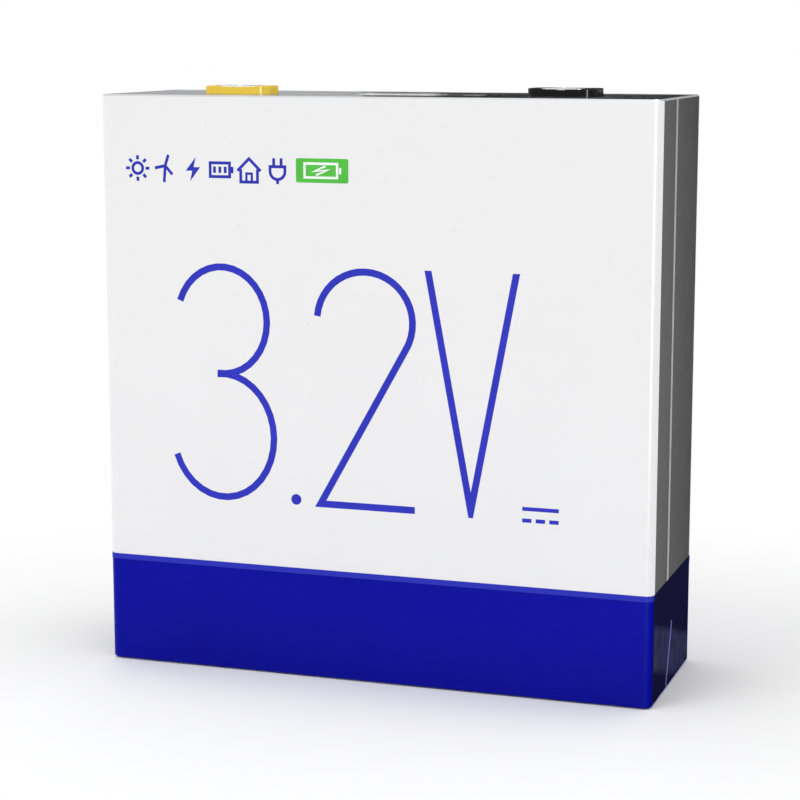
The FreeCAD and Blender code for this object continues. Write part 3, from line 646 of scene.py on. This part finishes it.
def icon_sun(x, z):
    rays = []
    for i in range(8):
        a = math.radians(45 * i)
        ends = [(x + r * math.cos(a), z + r * math.sin(a)) for r in (3.3, 4.9)]
        rays.append((ends, ICON_STROKE, False))
    return [(arc(x, z, 2.1, 2.1, 0, 345, 23), ICON_STROKE, True)] + rays


def icon_turbine(x, z):
    hub = (x, z + 1.1)
    blades = []
    for turn in (72, 192, 312):
        a = math.radians(turn)
        tip = (hub[0] + 4.4 * math.cos(a), hub[1] + 4.4 * math.sin(a))
        blades.append(([hub, tip], ICON_STROKE, False))
    mast = ([hub, (x - 0.5, z - 5.2)], ICON_STROKE, False)
    return [mast] + blades


def icon_bolt(x, z):
    corners = [(1.2, 4.6), (-3.0, -0.6), (-0.3, -0.6), (-1.2, -4.6), (3.0, 0.8), (0.3, 0.8)]
    return [([(x + dx, z + dz) for dx, dz in corners], FILLED, True)]


def icon_battery(x, z):
    case = [(x - 4.4, z - 2.6), (x + 3.6, z - 2.6), (x + 3.6, z + 2.6), (x - 4.4, z + 2.6)]
    bars = [([(x + dx, z - 1.2), (x + dx, z + 1.2)], ICON_STROKE, False) for dx in (-2.6, -0.4, 1.8)]
    return [(case, ICON_STROKE, True), ([(x + 4.6, z - 1.2), (x + 4.6, z + 1.2)], ICON_STROKE, False)] + bars


def icon_house(x, z):
    walls = [(x - 3.4, z + 0.4), (x - 3.4, z - 4.4), (x + 3.4, z - 4.4), (x + 3.4, z + 0.4)]
    roof = [(x - 4.7, z - 0.2), (x, z + 4.4), (x + 4.7, z - 0.2)]
    door = [(x - 1.1, z - 4.2), (x - 1.1, z - 1.2), (x + 1.1, z - 1.2), (x + 1.1, z - 4.2)]
    return [(walls, ICON_STROKE, False), (roof, ICON_STROKE, False), (door, ICON_STROKE * 0.8, False)]


def icon_plug(x, z):
    body = [(x - 3.0, z + 1.6)] + arc(x, z - 0.2, 3.0, 3.0, 180, 360, 12) + [(x + 3.0, z + 1.6)]
    prongs = [([(x + dx, z + 1.8), (x + dx, z + 4.8)], ICON_STROKE, False) for dx in (-1.5, 1.5)]
    return [(body, ICON_STROKE, True)] + prongs + [([(x, z - 3.2), (x, z - 4.9)], ICON_STROKE, False)]


def make_icons():
    """A row of six plain signs for what such a cell stores energy from and for."""
    material = ink("ink_dark_blue", ICON_BLUE)
    signs = [icon_sun, icon_turbine, icon_bolt, icon_battery, icon_house, icon_plug]
    middle_z = ICON_FOOT + ICON_SIZE / 2
    for index, sign in enumerate(signs):
        x = ICON_FIRST + ICON_SIZE / 2 + index * ICON_PITCH
        print_piece(f"print_{sign.__name__}", material, sign(x, middle_z))


def make_badge():
    """A green patch with a battery and a charging bolt left white."""
    left, right, foot, top, radius = 80.9, 101.8, 192.0, 201.1, 0.7
    outline = rounded_rectangle((left, foot), (right, top), radius, 6)
    print_piece("print_badge", ink("ink_green", BADGE_GREEN), outlines=[outline])
    x, z = (left + right) / 2, (foot + top) / 2
    case = [(x - 7, z - 2.6), (x + 6, z - 2.6), (x + 6, z + 2.6), (x - 7, z + 2.6)]
    nub = [(x + 7.2, z - 1.2), (x + 7.2, z + 1.2)]
    bolt = [(x + 1.4, z + 1.7), (x - 3.2, z - 0.3), (x + 2.2, z + 0.3), (x - 2.4, z - 1.7)]
    strokes = [(case, 0.9, True), (nub, 0.9, False), (bolt, 0.8, False)]
    above_badge, step = 1.5, 0.5
    mesh = bmesh.new()
    for order, (points, width, closed) in enumerate(strokes):
        add_stroke(mesh, points, width, above_badge + order * step, closed)
    thicken(new_piece("print_badge_battery", mesh, ink("ink_white", (0.9, 0.9, 0.9))), INK_THICKNESS)


def rounded_path(low, high, radius, z, steps=8):
    """Round the rectangle from low to high at a height, anticlockwise from above."""
    return [Vector((x, y, z)) for x, y in rounded_rectangle(low.xy, high.xy, radius, steps)]


def resample(points, spacing):
    """Points at even steps round a closed path, about a spacing apart."""
    lengths = [(points[i] - points[i - 1]).length for i in range(1, len(points))]
    lengths.append((points[0] - points[-1]).length)
    total = sum(lengths)
    count = max(12, round(total / spacing))
    made, index, passed = [], 0, 0.0
    for step in range(count):
        target = total * step / count
        while passed + lengths[index] < target:
            passed += lengths[index]
            index += 1
        share = (target - passed) / lengths[index]
        made.append(points[index].lerp(points[(index + 1) % len(points)], share))
    return made


def weld_bead(name, path, width, height, ripple, material):
    """A laser weld round a closed path: overlapping scales on a low rounded ridge."""
    per_scale, section = 3, 6
    points = resample(path, ripple / per_scale)
    mesh = bmesh.new()
    rings = []
    for i, point in enumerate(points):
        along = (points[(i + 1) % len(points)] - points[i - 1]).normalized()
        across = Vector((along.y, -along.x, 0))
        # each scale falls away to where the next one starts
        scale = 0.72 + 0.28 * (1 - (i % per_scale) / per_scale)
        ring = []
        for k in range(section + 1):
            a = math.pi * k / section
            offset = across * (math.cos(a) * width / 2) + Vector((0, 0, math.sin(a) * height * scale))
            ring.append(mesh.verts.new(point + offset))
        rings.append(ring)
    join_rings(mesh, rings, closed=True)
    smooth(new_piece(name, mesh, material))


def make_welds():
    """Laser welds of the lid, the burst disc, the filling cap and the two post heads."""
    bright = metal("weld_bright", (0.62, 0.63, 0.65), 0.3, grain=(1, 1, 1))
    dull = metal("weld_dull", (0.30, 0.30, 0.31), 0.3, grain=(1, 1, 1))

    low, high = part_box("lid_plate")
    path = rounded_path(low, high, 2.1 * MM, high.z)
    weld_bead("lid_weld", path, width=1.1 * MM, height=0.16 * MM, ripple=0.7 * MM,
              material=bright)

    low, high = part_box("vent_disc")
    inset = Vector((0.4, 0.4, 0)) * MM
    radius = (high.y - low.y) / 2 - inset.y - HAIR
    path = rounded_path(low + inset, high - inset, radius, high.z, 24)
    weld_bead("vent_weld", path, width=0.8 * MM, height=0.2 * MM, ripple=0.5 * MM,
              material=bright)

    low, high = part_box("fill_port_cap")
    path = rounded_path(low, high, (high.x - low.x) / 2 - HAIR, high.z, 24)
    weld_bead("fill_cap_weld", path, width=0.8 * MM, height=0.10 * MM, ripple=0.45 * MM,
              material=dull)

    for polarity in ("positive", "negative"):
        centre = middle(f"{polarity}_post")
        head = Vector((POST_WELD_RADIUS, POST_WELD_RADIUS, 0))
        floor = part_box(f"{polarity}_terminal_pad")[1].z - POST_RECESS
        path = rounded_path(centre - head, centre + head, POST_WELD_RADIUS - HAIR, floor, 24)
        weld_bead(f"{polarity}_post_weld", path, width=0.46 * MM, height=0.3 * MM, ripple=0.4 * MM,
                  material=bright)


def make_vent_cover():
    """The clear film over the vent, bulged a little by the air that it closes in."""
    low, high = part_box("vent_cover_film")
    half_width = (high.y - low.y) / 2
    rings, reach, roundness = 10, 0.96, 0.999
    mesh = bmesh.new()
    loops = []
    for ring in range(rings):
        inward = reach * half_width * ring / rings
        radius = half_width - inward
        rise = VENT_BULGE * (1 - (1 - ring / rings) ** 2)
        inset = Vector((inward, inward, 0))
        path = rounded_path(low + inset, high - inset, radius * roundness, high.z + rise, 10)
        loops.append([mesh.verts.new(point) for point in path])
    for outer, inner in zip(loops, loops[1:]):
        count = len(outer)
        for i in range(count):
            mesh.faces.new((outer[i], outer[(i + 1) % count], inner[(i + 1) % count], inner[i]))
    mesh.faces.new(loops[-1])
    cover = new_piece("vent_cover", mesh, SLOT_MATERIALS["clear_film"])
    smooth(cover)
    thicken(cover, high.z - low.z, -1.0)
    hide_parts("vent_cover_film")


def make_tuck_folds():
    """The rounded fold along the front edge of the tuck at the foot of each narrow side, paler than the navy
    film as a painted highlight.
    """
    # the pale fold colour is a painted highlight
    material = printed_film("fold_highlight_blue", FOLD_NAVY_WITH_HIGHLIGHT, 0.4, 0.02, cloud=0.1)
    section, steps = 6, 24
    for name, side in (("left", -1), ("right", 1)):
        low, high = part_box(f"{name}_foot_tuck")
        face_x = low.x if side < 0 else high.x
        rise = cad_high.x - abs(face_x) - HAIR
        start, end = Vector((face_x, low.y, low.z)), Vector((face_x, (low.y + high.y) / 2, high.z))
        along = (end - start).normalized()
        across = Vector((0, -along.z, along.y))
        mesh = bmesh.new()
        rings = []
        for i in range(steps + 1):
            # full height along its length, with short rounded ends
            taper = math.sin(math.pi * (0.06 + 0.88 * i / steps)) ** 0.3
            point = start.lerp(end, i / steps)
            ring = []
            for k in range(section + 1):
                a = math.pi * k / section
                bulge = Vector((side * rise * math.sin(a) * taper, 0, 0))
                flat = across * (math.cos(a) * FOLD_WIDTH / 2 * taper)
                ring.append(mesh.verts.new(point + flat + bulge))
            rings.append(ring)
        join_rings(mesh, rings)
        mesh.faces.new(rings[0])
        mesh.faces.new(rings[-1])
        smooth(new_piece(f"{name}_tuck_fold", mesh, material))


# Studio


def direction(azimuth, elevation):
    """Towards a place round the cell: azimuth 0 is in front, 90 is to the right."""
    a, e = math.radians(azimuth), math.radians(elevation)
    return Vector((math.sin(a) * math.cos(e), -math.cos(a) * math.cos(e), math.sin(e)))


def aim(thing, place, target):
    thing.location = place
    thing.rotation_euler = (target - place).to_track_quat("-Z", "Y").to_euler()
    bpy.context.scene.collection.objects.link(thing)


def add_softbox(name, azimuth, elevation, distance, width, height, power):
    """A long light that only shows in glossy surfaces, as bright lines on their rounded corners."""
    light = bpy.data.lights.new(name, "AREA")
    light.shape = "RECTANGLE"
    light.size, light.size_y = width, height
    light.energy = power
    box = bpy.data.objects.new(name, light)
    box.visible_diffuse = False
    aim(box, CAMERA_TARGET + direction(azimuth, elevation) * distance, CAMERA_TARGET)


def add_sun(name, azimuth, elevation, angle, strength):
    """A far soft light, so that the floor is lit alike everywhere."""
    light = bpy.data.lights.new(name, "SUN")
    light.angle = math.radians(angle)
    light.energy = strength
    sun = bpy.data.objects.new(name, light)
    aim(sun, CAMERA_TARGET + direction(azimuth, elevation) * 2, CAMERA_TARGET)


def studio_sheet(name, segments, half_size, material):
    """A flat square round the origin, for the floor and the cards."""
    mesh = bmesh.new()
    bmesh.ops.create_grid(mesh, x_segments=segments, y_segments=segments, size=half_size)
    data = bpy.data.meshes.new(name)
    mesh.to_mesh(data)
    mesh.free()
    data.materials.append(material)
    sheet = bpy.data.objects.new(name, data)
    bpy.context.scene.collection.objects.link(sheet)
    return sheet


def add_card(name, left, colour):
    """A matt card behind the cell that only shows in glossy surfaces, such as its lid and collars."""
    card = studio_sheet(name, 1, 0.5, card_board(f"board_{name}", colour))
    card.scale = (CARD_WIDTH, CARD_HEIGHT, 1)
    card.rotation_euler = (math.radians(90), 0, 0)
    card.location = (left + CARD_WIDTH / 2, CARD_BEHIND, CARD_FOOT + CARD_HEIGHT / 2)
    for ray in ("camera", "diffuse", "transmission", "volume_scatter", "shadow"):
        setattr(card, f"visible_{ray}", False)


def make_studio():
    """Pale floor, white surroundings, a soft sun, the strip light and the two cards."""
    floor = studio_sheet("floor", 8, 12, studio_floor("floor_pale"))
    floor.location.z = cad_low.z - 0.02 * MM

    world = bpy.data.worlds.new("studio")
    world.use_nodes = True
    background = world.node_tree.nodes["Background"]
    background.inputs["Color"].default_value = (1.0, 1.0, 1.0, 1)
    background.inputs["Strength"].default_value = 1.0
    bpy.context.scene.world = world

    add_sun("key", azimuth=-38, elevation=50, angle=30, strength=0.5)
    add_softbox("corner_strip", azimuth=34, elevation=13, distance=0.55, width=0.06, height=0.46, power=3.7)
    add_card("card_black", CARD_EDGE, (0.006, 0.006, 0.007))
    add_card("card_grey", CARD_EDGE - CARD_WIDTH, (0.50, 0.50, 0.51))


def make_camera():
    lens = bpy.data.cameras.new("camera")
    lens.lens = CAMERA_LENS
    lens.sensor_width = 36.0
    lens.clip_start = 0.01
    lens.clip_end = 60.0
    camera = bpy.data.objects.new("camera", lens)
    place = CAMERA_TARGET + direction(CAMERA_AZIMUTH, CAMERA_ELEVATION) * CAMERA_DISTANCE
    aim(camera, place, CAMERA_TARGET)
    bpy.context.scene.camera = camera


dress_cad_nodes()
make_figures()
make_icons()
make_badge()
make_welds()
make_vent_cover()
make_tuck_folds()
make_studio()
make_camera()
bpy.context.scene.view_settings.view_transform = "Standard"
